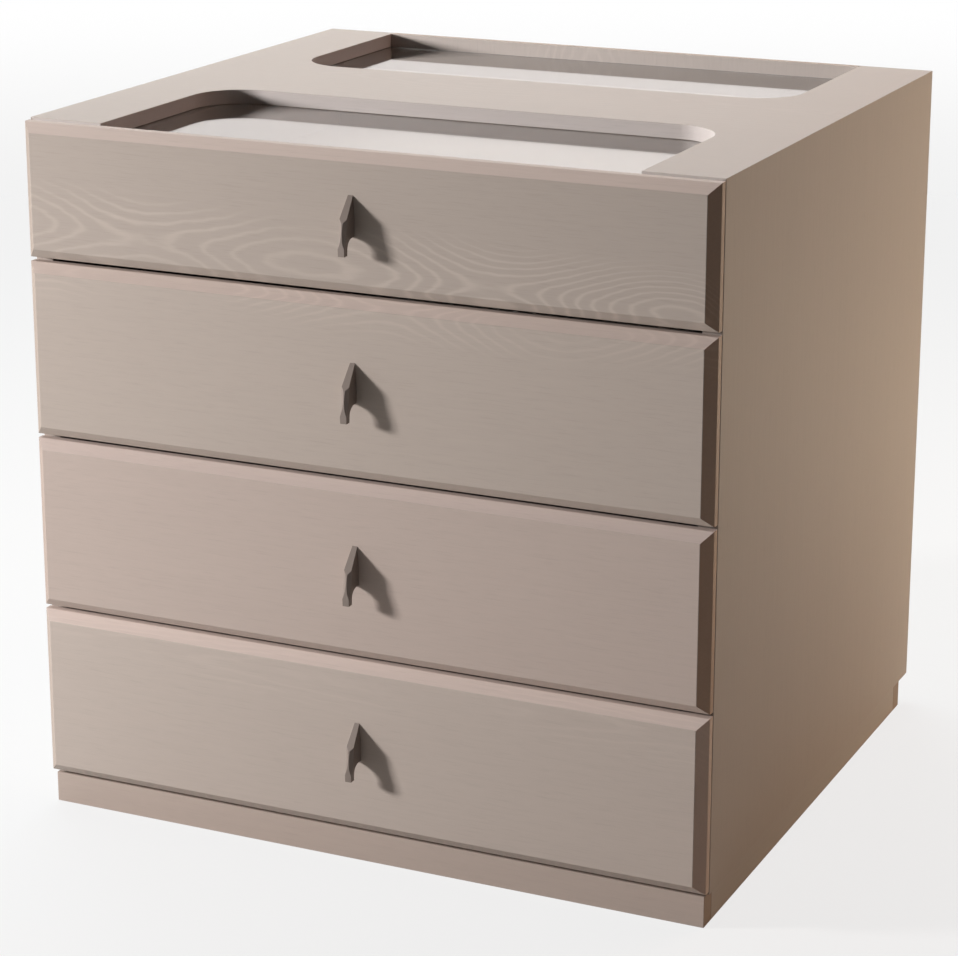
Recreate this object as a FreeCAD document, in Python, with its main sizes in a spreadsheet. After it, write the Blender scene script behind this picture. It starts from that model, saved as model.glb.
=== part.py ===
"""A four-drawer chest with two glazed notches in its top, built piece by piece.

Millimetres, +Z up, +X to the viewer's right, drawers opening towards -Y. The origin is on
the floor, in the middle of the footprint with the pulls counted in.
"""
import FreeCAD, Part
import math
import operator
import os
import Sketcher

Vector = FreeCAD.Vector

# --------------------------------------------------------------------------------------
# Driving sizes
# --------------------------------------------------------------------------------------

SIZES = {
    # whole chest
    "width": 700.0,
    "height": 697.0,
    "case_depth": 618.5,
    # case boards
    "board": 19.0,
    "back_thickness": 8.0,
    "back_rebate": 9.0,
    "back_fit": 0.2,
    # plinth
    "plinth_height": 31.0,
    "plinth_board": 19.0,
    "plinth_side_inset": 2.5,
    "plinth_side_lap": 2.5,
    "plinth_front_setback": 13.0,
    "plinth_back_inset": 20.0,
    "block_leg": 40.0,
    "block_height": 25.0,
    # notches and glass in the top
    "notch_margin": 78.0,
    "notch_corner": 50.0,
    "front_notch": 223.0,
    "rear_notch": 235.0,
    "glass_drop": 14.5,
    "glass_thickness": 4.0,
    "glass_cover": 10.0,
    "glass_edge_gap": 1.0,
    "glass_fit": 0.3,
    # drawer fronts
    "front_thickness": 18.0,
    "front_gap": 1.5,
    "bevel": 9.8,
    "top_front_height": 131.3,
    "between_fronts": 4.0,
    "above_fronts": 2.0,
    "below_fronts": 4.0,
    # drawer boxes
    "runner_space": 13.0,
    "box_board": 12.0,
    "box_back_room": 52.0,
    "box_floor_gap": 5.0,
    "box_headroom": 15.5,
    "box_bottom": 6.0,
    "groove_depth": 5.0,
    "groove_rise": 10.0,
    # runners
    "runner_height": 45.0,
    "runner_sheet": 1.2,
    "runner_rise": 40.0,
    "runner_setback": 4.0,
    "runner_end_gap": 4.5,
    "runner_lip_gap": 3.2,
    "ball_race": 3.4,
    "runner_play": 0.4,
    # pulls
    "pull_reach": 20.0,
    "pull_above": 26.5,
    "pull_below": 26.5,
    "pull_root_below": 11.5,
    "pull_shoulder_reach": 17.5,
    "pull_shoulder_rise": 4.0,
    "pull_chin_drop": 14.0,
    "pull_lip": 6.5,
    "pull_arch": 9.0,
    "pull_crown_width": 5.2,
    "pull_shoulder_width": 8.0,
    "pull_tip_width": 6.4,
    "pull_scoop": 19.2,
    "pull_scoop_tall": 40.0,
    "pull_scoop_bite": 3.6,
    "pull_scoop_ahead": 10.0,
    "pull_scoop_rise": 3.0,
    # screws
    "screw_thread": 4.0,
    "screw_clear": 0.6,
    "screw_fit": 0.1,
    "screw_head": 8.0,
    "screw_head_height": 2.4,
    "screw_grip": 7.0,
    "screw_tip_gap": 1.0,
    "pull_screw_spacing": 12.0,
    "front_screw_edge": 60.0,
}

doc = FreeCAD.newDocument("Chest")
sheet = doc.addObject("Spreadsheet::Sheet", "Sizes")


class Size:
    """A length that carries its value and the sheet expression that gives it."""

    def __init__(self, value, text):
        self.value = float(value)
        self.text = text

    def __add__(self, other):
        return combine(self, "+", other)

    def __radd__(self, other):
        return combine(other, "+", self)

    def __sub__(self, other):
        return combine(self, "-", other)

    def __rsub__(self, other):
        return combine(other, "-", self)

    def __mul__(self, other):
        return combine(self, "*", other)

    def __rmul__(self, other):
        return combine(other, "*", self)

    def __truediv__(self, other):
        return combine(self, "/", other)

    def __neg__(self):
        return combine(-1, "*", self)


OPERATIONS = {"+": operator.add, "-": operator.sub, "*": operator.mul, "/": operator.truediv}


def as_size(amount):
    """Take a Size, or a plain number as one."""
    return amount if isinstance(amount, Size) else Size(amount, repr(float(amount)))


def combine(left, sign, right):
    """Join two lengths, in value and in expression alike."""
    left = as_size(left)
    right = as_size(right)
    value = OPERATIONS[sign](left.value, right.value)
    return Size(value, f"({left.text} {sign} {right.text})")


def fill_sheet():
    """Write each driving size to a cell with an alias, and return them as Sizes."""
    sizes = {}
    for row, (name, value) in enumerate(SIZES.items(), start=1):
        sheet.set(f"A{row}", name)
        sheet.set(f"B{row}", str(value))
        sheet.setAlias(f"B{row}", name)
        sizes[name] = Size(value, f"Sizes.{name}")
    doc.recompute()
    return sizes


class Named:
    """The driving sizes, read as attributes."""

    def __init__(self, sizes):
        self.__dict__.update(sizes)


mm = Named(fill_sheet())

# --------------------------------------------------------------------------------------
# Places worked out from the sizes
# --------------------------------------------------------------------------------------

half_width = mm.width / 2
full_depth = mm.case_depth + mm.front_gap + mm.front_thickness + mm.pull_reach
back_y = full_depth / 2
case_front_y = back_y - mm.case_depth
front_back_y = case_front_y - mm.front_gap
front_face_y = front_back_y - mm.front_thickness
back_inner_y = back_y - mm.back_thickness
inner_half = half_width - mm.board
notch_half = half_width - mm.notch_margin
glass_top_z = mm.height - mm.glass_drop
top_under_z = mm.height - mm.board
box_half = inner_half - mm.runner_space
box_lift = mm.board - mm.below_fronts + mm.box_floor_gap
box_drop = mm.glass_drop + mm.glass_thickness - mm.above_fronts + mm.box_headroom
box_length = mm.case_depth + mm.front_gap - mm.back_thickness - mm.box_back_room
runner_start_y = case_front_y + mm.runner_setback
runner_length = box_length - mm.front_gap - mm.runner_setback - mm.runner_end_gap

stack_height = mm.height - mm.plinth_height - mm.above_fronts - mm.below_fronts
lower_front_height = (stack_height - mm.top_front_height - 3 * mm.between_fronts) / 3


class Drawer:
    """One drawer's own sizes and heights."""

    def __init__(self, number, front_low, front_height):
        self.name = f"drawer{number}"
        self.front_low = front_low
        self.front_height = front_height
        self.middle = front_low + front_height / 2
        self.box_low = front_low + box_lift
        self.box_height = front_height - box_lift - box_drop
        self.runner_middle = self.box_low + mm.runner_rise


def stack_drawers():
    """Stack the drawers from the bottom up, numbered from the top down."""
    drawers = []
    low = mm.plinth_height + mm.below_fronts
    for number in (4, 3, 2, 1):
        height = mm.top_front_height if number == 1 else lower_front_height
        drawers.append(Drawer(number, low, height))
        low = low + height + mm.between_fronts
    return drawers[::-1]


# --------------------------------------------------------------------------------------
# Modelling helpers
# --------------------------------------------------------------------------------------

pieces = []


def keep(thing, label):
    """Give a finished sub-part its label and put it on the list of pieces."""
    thing.Label = label
    pieces.append(thing)
    return thing


def bind(thing, prop, size):
    """Bind one property to the sheet."""
    thing.setExpression(prop, as_size(size).text)


def place(thing, x=0, y=0, z=0):
    """Bind a sub-part's place to the sheet."""
    for axis, size in (("x", x), ("y", y), ("z", z)):
        bind(thing, f"Placement.Base.{axis}", size)


def board(label, low, high):
    """Make a plain rectangular board between two corners."""
    box = doc.addObject("Part::Box", label)
    for prop, start, end in zip(("Length", "Width", "Height"), low, high):
        bind(box, prop, end - start)
    place(box, *low)
    return keep(box, label)


def new_body(label):
    """Start a body."""
    return doc.addObject("PartDesign::Body", label)


# Each origin plane with the pads' start and the pockets' start along its axis: pads grow
# along the sketch's normal and pockets against it, and the XZ plane's normal is -Y.
PLANES = {
    "XY_Plane": {"pad": "low", "pocket": "high", "sign": 1},
    "XZ_Plane": {"pad": "high", "pocket": "low", "sign": -1},
    "YZ_Plane": {"pad": "low", "pocket": "high", "sign": 1},
}


def new_sketch(body, role, level):
    """Put an empty sketch on one of the body's origin planes, moved to a level."""
    sketch = body.newObject("Sketcher::SketchObject", "Sketch")
    plane = next(item for item in body.Origin.OriginFeatures if item.Role == role)
    sketch.AttachmentSupport = [(plane, "")]
    sketch.MapMode = "FlatFace"
    bind(sketch, "AttachmentOffset.Base.z", level * PLANES[role]["sign"])
    return sketch


def pin(sketch, geometry, vertex, u, v, name):
    """Fix a sketch point at bound coordinates."""
    for kind, size, axis in (("DistanceX", u, "u"), ("DistanceY", v, "v")):
        constraint = Sketcher.Constraint(kind, -1, 1, geometry, vertex, as_size(size).value)
        index = sketch.addConstraint(constraint)
        sketch.renameConstraint(index, f"{name}{axis}")
        sketch.setExpression(f".Constraints.{name}{axis}", as_size(size).text)


def sign_of(number):
    """Give the direction of a difference."""
    return (number > 1e-9) - (number < -1e-9)


def corner_points(corners):
    """Turn corners, some with a radius, into the outline's points and arcs.

    A corner is (u, v) or (u, v, radius). A rounded corner stands between two runs that lie
    along the axes.
    """
    points = []
    arcs = {}
    count = len(corners)
    for index, corner in enumerate(corners):
        u, v = as_size(corner[0]), as_size(corner[1])
        if len(corner) == 2:
            points.append((u, v))
            continue
        radius = corner[2]
        before = corners[index - 1]
        after = corners[(index + 1) % count]
        ends = []
        for other in (before, after):
            du = sign_of(as_size(other[0]).value - u.value)
            dv = sign_of(as_size(other[1]).value - v.value)
            ends.append((u + radius * du, v + radius * dv, du, dv))
        centre = (u + radius * (ends[0][2] + ends[1][2]), v + radius * (ends[0][3] + ends[1][3]))
        arcs[len(points)] = (centre, radius)
        points.append(ends[0][:2])
        points.append(ends[1][:2])
    return points, arcs


def draw_outline(sketch, corners):
    """Draw one closed outline through the corners, each point bound to the sheet."""
    points, arcs = corner_points(corners)
    count = len(points)
    first = sketch.GeometryCount
    for index, (u, v) in enumerate(points):
        start = Vector(u.value, v.value, 0)
        u2, v2 = points[(index + 1) % count]
        end = Vector(u2.value, v2.value, 0)
        if index in arcs:
            centre, radius = arcs[index]
            middle = Vector(centre[0].value, centre[1].value, 0)
            chord = (start + end) * 0.5 - middle
            bulge = middle + chord.normalize() * radius.value
            sketch.addGeometry(Part.Arc(start, bulge, end), False)
        else:
            sketch.addGeometry(Part.LineSegment(start, end), False)
    for index, (u, v) in enumerate(points):
        geometry = first + index
        following = first + (index + 1) % count
        tail, head = end_vertices(sketch, geometry, u, v)
        next_u, next_v = points[(index + 1) % count]
        next_tail = end_vertices(sketch, following, next_u, next_v)[0]
        sketch.addConstraint(Sketcher.Constraint("Coincident", geometry, head, following, next_tail))
        pin(sketch, geometry, tail, u, v, f"p{geometry}")
        if index in arcs:
            radius = arcs[index][1]
            turn = sketch.addConstraint(Sketcher.Constraint("Radius", geometry, radius.value))
            sketch.renameConstraint(turn, f"r{geometry}")
            sketch.setExpression(f".Constraints.r{geometry}", radius.text)


def end_vertices(sketch, geometry, u, v):
    """Tell which end of a sketch line or arc lies at (u, v): its number comes first."""
    start = sketch.getPoint(geometry, 1)
    near = math.hypot(start.x - u.value, start.y - v.value) < 1e-6
    return (1, 2) if near else (2, 1)


def draw_circles(sketch, centres, radius):
    """Draw circles of one radius, bound to the sheet."""
    for u, v in centres:
        middle = Vector(as_size(u).value, as_size(v).value, 0)
        circle = sketch.addGeometry(Part.Circle(middle, Vector(0, 0, 1), radius.value), False)
        pin(sketch, circle, 3, u, v, f"c{circle}")
        turn = sketch.addConstraint(Sketcher.Constraint("Radius", circle, radius.value))
        sketch.renameConstraint(turn, f"r{circle}")
        sketch.setExpression(f".Constraints.r{circle}", radius.text)


def extrude(body, role, low, high, draw, kind):
    """Pad or pocket what draw() puts in a sketch, between two levels of the plane's axis."""
    level = {"low": low, "high": high}[PLANES[role][kind.lower()]]
    sketch = new_sketch(body, role, as_size(level))
    draw(sketch)
    feature = body.newObject(f"PartDesign::{kind}", kind)
    feature.Profile = sketch
    bind(feature, "Length", high - low)
    before = body.Shape.Volume if kind == "Pocket" else 0
    doc.recompute()
    if kind == "Pocket" and body.Shape.Volume > before - 1e-3:
        raise RuntimeError(f"{body.Name}: {feature.Name} cuts nothing")
    return feature


def pad(body, role, low, high, *outlines):
    """Pad closed outlines between two levels."""
    return extrude(body, role, low, high, lambda sketch: draw_all(sketch, outlines), "Pad")


def pocket(body, role, low, high, *outlines):
    """Cut closed outlines between two levels."""
    return extrude(body, role, low, high, lambda sketch: draw_all(sketch, outlines), "Pocket")


def bore(body, role, low, high, centres, radius):
    """Cut round holes between two levels."""
    return extrude(body, role, low, high, lambda sketch: draw_circles(sketch, centres, radius), "Pocket")


def draw_all(sketch, outlines):
    """Draw several outlines into one sketch."""
    for corners in outlines:
        draw_outline(sketch, corners)


def rectangle(u0, v0, u1, v1):
    """List a rectangle's corners."""
    return [(u0, v0), (u1, v0), (u1, v1), (u0, v1)]


def edge_names(shape, wanted):
    """Name the edges that a test picks out."""
    return [f"Edge{number}" for number, edge in enumerate(shape.Edges, start=1) if wanted(edge)]


def dress(body, kind, wanted, size):
    """Fillet or chamfer the edges of a body's tip that a test picks out."""
    base = body.Tip
    feature = body.newObject(f"PartDesign::{kind}", kind)
    feature.Base = (base, edge_names(base.Shape, wanted))
    bind(feature, "Radius" if kind == "Fillet" else "Size", size)
    doc.recompute()
    return feature


def group(label, things):
    """Join separate solids in one sub-part, each staying a solid."""
    compound = doc.addObject("Part::Compound", label)
    compound.Links = things
    return keep(compound, label)


def mirror_in_x(thing):
    """Mirror a thing to the other side of the chest."""
    other = doc.addObject("Part::Mirroring", f"{thing.Name}_mirrored")
    other.Source = thing
    other.Normal = Vector(1, 0, 0)
    other.Base = Vector(0, 0, 0)
    return other


# --------------------------------------------------------------------------------------
# Case
# --------------------------------------------------------------------------------------


def top_panel():
    """The mitred top with its two notches, rebated from below for the glass."""
    body = new_body("top_panel")
    front_end = case_front_y + mm.front_notch
    rear_start = back_y - mm.rear_notch
    outline = [
        (-half_width, case_front_y),
        (-notch_half, case_front_y),
        (-notch_half, front_end, mm.notch_corner),
        (notch_half, front_end, mm.notch_corner),
        (notch_half, case_front_y),
        (half_width, case_front_y),
        (half_width, back_y),
        (notch_half, back_y),
        (notch_half, rear_start, mm.notch_corner),
        (-notch_half, rear_start, mm.notch_corner),
        (-notch_half, back_y),
        (-half_width, back_y),
    ]
    pad(body, "XY_Plane", top_under_z, mm.height, outline)
    seat = notch_half + mm.glass_cover + mm.glass_fit
    rebates = (
        rectangle(-seat, case_front_y, seat, front_end + mm.glass_cover + mm.glass_fit),
        rectangle(-seat, rear_start - mm.glass_cover - mm.glass_fit, seat, back_inner_y),
    )
    pocket(body, "XY_Plane", top_under_z, glass_top_z, *rebates)
    for side in (-1, 1):
        mitre = [
            (side * half_width, mm.height),
            (side * half_width, top_under_z),
            (side * inner_half, top_under_z),
        ]
        pocket(body, "XZ_Plane", case_front_y, back_y, mitre)
    half_back = inner_half + mm.back_rebate
    lip_z = mm.height - mm.board + mm.back_rebate
    strip = rectangle(-half_back, top_under_z, half_back, lip_z)
    pocket(body, "XZ_Plane", back_inner_y, back_y, strip)
    keep(body, "top_panel")


def side_panel(label, side):
    """A side board, mitred at the top and rebated for the back."""
    body = new_body(label)
    outline = [
        (side * half_width, mm.plinth_height),
        (side * half_width, mm.height),
        (side * inner_half, top_under_z),
        (side * inner_half, mm.plinth_height),
    ]
    pad(body, "XZ_Plane", case_front_y, back_y, outline)
    reach = inner_half + mm.back_rebate
    strip = rectangle(side * inner_half, mm.plinth_height, side * reach, mm.height)
    pocket(body, "XZ_Plane", back_inner_y, back_y, strip)
    keep(body, label)


def back_panel():
    """The back in its rebates, with a tongue that closes the rear notch."""
    body = new_body("back_panel")
    reach = inner_half + mm.back_rebate - mm.back_fit
    shoulder = top_under_z + mm.back_rebate - mm.back_fit
    tongue = notch_half - mm.back_fit
    outline = [
        (-reach, mm.plinth_height),
        (reach, mm.plinth_height),
        (reach, shoulder),
        (tongue, shoulder),
        (tongue, mm.height),
        (-tongue, mm.height),
        (-tongue, shoulder),
        (-reach, shoulder),
    ]
    pad(body, "XZ_Plane", back_inner_y, back_y, outline)
    keep(body, "back_panel")


def bottom_panel():
    """The bottom board between the sides."""
    low = (-inner_half, case_front_y, mm.plinth_height)
    high = (inner_half, back_inner_y, mm.plinth_height + mm.board)
    board("bottom_panel", low, high)


def panes():
    """The two panes, which lie in the rebates under the notches."""
    half = notch_half + mm.glass_cover
    low_z = glass_top_z - mm.glass_thickness
    front_low = (-half, case_front_y + mm.glass_edge_gap, low_z)
    front_high = (half, case_front_y + mm.front_notch + mm.glass_cover, glass_top_z)
    board("front_glass", front_low, front_high)
    rear_low = (-half, back_y - mm.rear_notch - mm.glass_cover, low_z)
    rear_high = (half, back_inner_y - mm.glass_fit, glass_top_z)
    board("rear_glass", rear_low, rear_high)


def plinth():
    """The low plinth: four boards butted together, with blocks in its corners.

    The side boards reach in past the sides by a lap, so that the bottom board bears on them.
    """
    half = half_width - mm.plinth_side_inset
    front_y = front_face_y + mm.plinth_front_setback
    rear_y = back_y - mm.plinth_back_inset
    inner_front = front_y + mm.plinth_board
    inner_rear = rear_y - mm.plinth_board
    inner = inner_half - mm.plinth_side_lap
    floor = as_size(0)
    board("plinth_front", (-half, front_y, floor), (half, inner_front, mm.plinth_height))
    board("plinth_back", (-half, inner_rear, floor), (half, rear_y, mm.plinth_height))
    board("plinth_left", (-half, inner_front, floor), (-inner, inner_rear, mm.plinth_height))
    board("plinth_right", (inner, inner_front, floor), (half, inner_rear, mm.plinth_height))
    blocks = []
    for side in (-1, 1):
        for corner, inward in ((inner_front, 1), (inner_rear, -1)):
            block = new_body("block")
            outline = [
                (side * inner, corner),
                (side * (inner - mm.block_leg), corner),
                (side * inner, corner + inward * mm.block_leg),
            ]
            pad(block, "XY_Plane", mm.plinth_height - mm.block_height, mm.plinth_height, outline)
            blocks.append(block)
    group("plinth_blocks", blocks)


# --------------------------------------------------------------------------------------
# Drawers
# --------------------------------------------------------------------------------------

pull_screw_spots = [(0, mm.pull_screw_spacing / 2), (0, -mm.pull_screw_spacing / 2)]
pull_screw_centre = (mm.pull_above - mm.pull_root_below) / 2


def screw_shift(drawer):
    """Give the height of the pull's screws over the middle of the box's front board."""
    return drawer.middle + pull_screw_centre - drawer.box_low


def drawer_front(drawer):
    """The full-overlay front, bevelled all round, bored for the pull and the box screws."""
    body = new_body(f"{drawer.name}_front")
    half = half_width
    tall = drawer.front_height / 2
    start = as_size(0)
    pad(body, "XZ_Plane", start, mm.front_thickness, rectangle(-half, -tall, half, tall))
    dress(body, "Chamfer", lambda edge: edge.BoundBox.YMax < 1e-6, mm.bevel)
    hole = (mm.screw_thread + mm.screw_clear) / 2
    spots = [(u, v + pull_screw_centre) for u, v in pull_screw_spots]
    bore(body, "XZ_Plane", start, mm.front_thickness, spots, hole)
    pilots = [(u, v + drawer.box_low - drawer.middle) for u, v in front_screw_spots(drawer)]
    bore(body, "XZ_Plane", mm.front_thickness / 2, mm.front_thickness, pilots, mm.screw_thread / 2)
    place(body, 0, front_face_y, drawer.middle)
    keep(body, f"{drawer.name}_front")


def box_side(drawer, label, side):
    """A box side with the groove that holds the bottom."""
    body = new_body(label)
    outer = side * box_half
    inner = side * (box_half - mm.box_board)
    deep = side * (box_half - mm.box_board + mm.groove_depth)
    low = mm.groove_rise
    high = mm.groove_rise + mm.box_bottom
    outline = [
        (outer, 0),
        (outer, drawer.box_height),
        (inner, drawer.box_height),
        (inner, high),
        (deep, high),
        (deep, low),
        (inner, low),
        (inner, 0),
    ]
    pad(body, "XZ_Plane", as_size(0), box_length, outline)
    place(body, 0, front_back_y, drawer.box_low)
    keep(body, label)


def front_screw_spots(drawer):
    """List where the screws between box and front go, on the box's front board."""
    across = box_half - mm.box_board - mm.front_screw_edge
    high = drawer.box_height - mm.groove_rise - mm.box_bottom
    return [(side * across, mm.groove_rise + mm.box_bottom + high * part)
            for side in (-1, 1) for part in (0.25, 0.75)]


def box_end(drawer, label, start, inward):
    """A box front or back between the sides, grooved on its inner face."""
    body = new_body(label)
    half = box_half - mm.box_board
    outer = start
    inner = start + inward * mm.box_board
    deep = start + inward * (mm.box_board - mm.groove_depth)
    low = mm.groove_rise
    high = mm.groove_rise + mm.box_bottom
    outline = [
        (outer, 0),
        (outer, drawer.box_height),
        (inner, drawer.box_height),
        (inner, high),
        (deep, high),
        (deep, low),
        (inner, low),
        (inner, 0),
    ]
    pad(body, "YZ_Plane", -half, half, outline)
    return body


def drawer_box(drawer):
    """The five boards of a drawer box."""
    box_side(drawer, f"{drawer.name}_side_left", -1)
    box_side(drawer, f"{drawer.name}_side_right", 1)
    front = box_end(drawer, f"{drawer.name}_box_front", as_size(0), 1)
    shift = screw_shift(drawer)
    hole = (mm.screw_thread + mm.screw_clear) / 2
    spots = [(u, v + shift) for u, v in pull_screw_spots] + front_screw_spots(drawer)
    bore(front, "XZ_Plane", as_size(0), mm.box_board, spots, hole)
    place(front, 0, front_back_y, drawer.box_low)
    keep(front, f"{drawer.name}_box_front")
    back = box_end(drawer, f"{drawer.name}_box_back", box_length, -1)
    place(back, 0, front_back_y, drawer.box_low)
    keep(back, f"{drawer.name}_box_back")
    half = box_half - mm.box_board + mm.groove_depth
    near = front_back_y + mm.box_board - mm.groove_depth
    far = front_back_y + box_length - mm.box_board + mm.groove_depth
    low_z = drawer.box_low + mm.groove_rise
    board(f"{drawer.name}_bottom", (-half, near, low_z), (half, far, low_z + mm.box_bottom))


def pull(drawer):
    """The sculpted fin pull: sloped crown, hooked lip and cheeks scooped to a ridge."""
    body = new_body(f"{drawer.name}_pull")
    outline = [
        (-mm.pull_crown_width / 2, mm.pull_above),
        (-mm.pull_shoulder_width / 2, mm.pull_shoulder_rise),
        (-mm.pull_tip_width / 2, -mm.pull_below),
        (mm.pull_tip_width / 2, -mm.pull_below),
        (mm.pull_shoulder_width / 2, mm.pull_shoulder_rise),
        (mm.pull_crown_width / 2, mm.pull_above),
    ]
    pad(body, "XZ_Plane", -mm.pull_reach, as_size(0), outline)
    wide = mm.pull_shoulder_width
    slope = [
        (0, mm.pull_above),
        (-mm.pull_shoulder_reach, mm.pull_shoulder_rise),
        (-mm.pull_reach, -mm.pull_chin_drop),
        (-mm.pull_reach - 1, -mm.pull_chin_drop),
        (-mm.pull_reach - 1, mm.pull_above + 1),
        (0, mm.pull_above + 1),
    ]
    pocket(body, "YZ_Plane", -wide, wide, slope)
    inner = -mm.pull_reach + mm.pull_lip
    arch = [
        (1, -mm.pull_root_below),
        (1, -mm.pull_below - 1),
        (inner, -mm.pull_below - 1),
        (inner, -mm.pull_root_below, mm.pull_arch),
    ]
    pocket(body, "YZ_Plane", -wide, wide, arch)
    for side in (-1, 1):
        scoop = body.newObject("PartDesign::SubtractiveEllipsoid", "Scoop")
        bind(scoop, "Radius1", mm.pull_scoop_tall)
        bind(scoop, "Radius2", mm.pull_scoop)
        bind(scoop, "Radius3", mm.pull_scoop)
        bind(scoop, "AttachmentOffset.Base.x", side * (mm.pull_scoop - mm.pull_scoop_bite))
        bind(scoop, "AttachmentOffset.Base.y", -mm.pull_reach - mm.pull_scoop_ahead)
        bind(scoop, "AttachmentOffset.Base.z", mm.pull_scoop_rise)
        plane = next(item for item in body.Origin.OriginFeatures if item.Role == "XY_Plane")
        scoop.AttachmentSupport = [(plane, "")]
        scoop.MapMode = "FlatFace"
        before = body.Shape.Volume
        doc.recompute()
        if body.Shape.Volume > before - 1e-3:
            raise RuntimeError("the scoop cuts nothing")
    hole = mm.screw_thread / 2
    spots = [(u, v + pull_screw_centre) for u, v in pull_screw_spots]
    bore(body, "XZ_Plane", -mm.screw_grip, as_size(0), spots, hole)
    place(body, 0, front_face_y, drawer.middle)
    keep(body, f"{drawer.name}_pull")


def screw(length, name):
    """A pan-head machine screw along -Y, its head's seat at the origin."""
    body = new_body(name)
    radius = mm.screw_thread / 2 - mm.screw_fit
    profile = [
        (0, mm.screw_head_height),
        (mm.screw_head / 2 - mm.screw_head_height / 2, mm.screw_head_height),
        (mm.screw_head / 2, mm.screw_head_height / 2),
        (mm.screw_head / 2, 0),
        (radius, 0),
        (radius, -length),
        (0, -length),
    ]
    sketch = new_sketch(body, "XY_Plane", as_size(0))
    draw_outline(sketch, profile)
    feature = body.newObject("PartDesign::Revolution", "Turned")
    feature.Profile = sketch
    feature.ReferenceAxis = (sketch, ["V_Axis"])
    feature.Angle = 360
    doc.recompute()
    return body


def screw_group(drawer, label, spots, length):
    """Screws of one kind, each a solid, heads on the inside of the box's front board."""
    screws = []
    for u, v in spots:
        one = screw(length, f"{label}_screw")
        place(one, u, front_back_y + mm.box_board, drawer.box_low + v)
        screws.append(one)
    group(label, screws)


def drawer_screws(drawer):
    """The screws of the pull and those that hold the front to its box."""
    shift = screw_shift(drawer)
    spots = [(u, v + shift) for u, v in pull_screw_spots]
    through = mm.box_board + mm.front_thickness + mm.screw_grip - mm.screw_tip_gap
    screw_group(drawer, f"{drawer.name}_pull_screws", spots, through)
    into_front = mm.box_board + mm.front_thickness / 2
    screw_group(drawer, f"{drawer.name}_front_screws", front_screw_spots(drawer), into_front)


# --------------------------------------------------------------------------------------
# Runners
# --------------------------------------------------------------------------------------


def channel(web, lip, tall, toward):
    """List a C section's corners: its web at one x, its flanges reaching to another."""
    sheet_x = toward * mm.runner_sheet
    half = tall / 2
    inside = half - mm.runner_sheet
    return [
        (web, -half),
        (lip, -half),
        (lip, -inside),
        (web + sheet_x, -inside),
        (web + sheet_x, inside),
        (lip, inside),
        (lip, half),
        (web, half),
    ]


def runners(drawer):
    """The three nested members of a drawer's pair of telescopic runners."""
    middle_tall = mm.runner_height - 2 * (mm.runner_sheet + mm.ball_race)
    drawer_tall = middle_tall - 2 * (mm.runner_sheet + mm.ball_race)
    case_web = inner_half
    case_lip = box_half + mm.runner_lip_gap
    middle_web = inner_half - mm.runner_sheet - mm.runner_play
    middle_lip = box_half + mm.runner_sheet + mm.runner_play
    drawer_web = box_half
    drawer_lip = middle_web - mm.runner_sheet - mm.runner_play
    members = (
        ("case_runners", channel(case_web, case_lip, mm.runner_height, -1)),
        ("middle_runners", channel(middle_web, middle_lip, middle_tall, -1)),
        ("drawer_runners", channel(drawer_web, drawer_lip, drawer_tall, 1)),
    )
    for kind, section in members:
        label = f"{drawer.name}_{kind}"
        body = new_body(f"{label}_right")
        pad(body, "XZ_Plane", as_size(0), runner_length, section)
        place(body, 0, runner_start_y, drawer.runner_middle)
        group(label, [body, mirror_in_x(body)])


# --------------------------------------------------------------------------------------
# Build, check and write
# --------------------------------------------------------------------------------------


def build():
    """Build every sub-part."""
    top_panel()
    side_panel("side_left", -1)
    side_panel("side_right", 1)
    back_panel()
    bottom_panel()
    panes()
    plinth()
    for drawer in stack_drawers():
        drawer_front(drawer)
        drawer_box(drawer)
        pull(drawer)
        drawer_screws(drawer)
        runners(drawer)
    doc.recompute()


def check():
    """Stop if any object failed or any piece isn't a valid solid."""
    for item in doc.Objects:
        if "Invalid" in item.State or "Error" in item.State:
            raise RuntimeError(f"{item.Name}: {item.State}")
    for piece in pieces:
        if piece.Shape.isNull() or not piece.Shape.isValid() or not piece.Shape.Solids:
            raise RuntimeError(f"{piece.Label} has no valid solid")


def write():
    """Write each piece to its own file."""
    os.makedirs("parts", exist_ok=True)
    for piece in pieces:
        piece.Shape.exportStep(f"parts/{piece.Label}.step")
        print(piece.Label, len(piece.Shape.Solids), round(piece.Shape.Volume / 1000, 2), "cm3")


build()
check()
write()
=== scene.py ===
"""A four-drawer chest with a glazed, notched top: its finishes, metalwork, light and view.

Metres, +Z up, +X to the viewer's right, drawers opening towards -Y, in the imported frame.
"""

import logging
import math
from collections.abc import Callable, Sequence
from dataclasses import dataclass
from enum import Enum

import bmesh
import bpy
from mathutils import Euler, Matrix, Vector


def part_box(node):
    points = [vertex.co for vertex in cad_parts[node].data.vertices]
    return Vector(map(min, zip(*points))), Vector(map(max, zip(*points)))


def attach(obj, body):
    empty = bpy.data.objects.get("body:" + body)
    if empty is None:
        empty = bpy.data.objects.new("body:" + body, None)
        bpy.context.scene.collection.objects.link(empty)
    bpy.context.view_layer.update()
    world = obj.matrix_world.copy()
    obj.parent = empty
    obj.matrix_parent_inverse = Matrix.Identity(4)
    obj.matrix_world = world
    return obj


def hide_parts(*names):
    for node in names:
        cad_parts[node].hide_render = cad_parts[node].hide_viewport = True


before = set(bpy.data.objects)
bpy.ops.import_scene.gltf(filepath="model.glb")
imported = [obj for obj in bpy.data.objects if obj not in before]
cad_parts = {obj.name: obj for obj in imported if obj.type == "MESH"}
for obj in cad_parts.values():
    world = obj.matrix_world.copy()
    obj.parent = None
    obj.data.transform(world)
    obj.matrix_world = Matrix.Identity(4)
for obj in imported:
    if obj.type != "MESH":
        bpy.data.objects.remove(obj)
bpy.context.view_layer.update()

log = logging.getLogger("chest")

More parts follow.
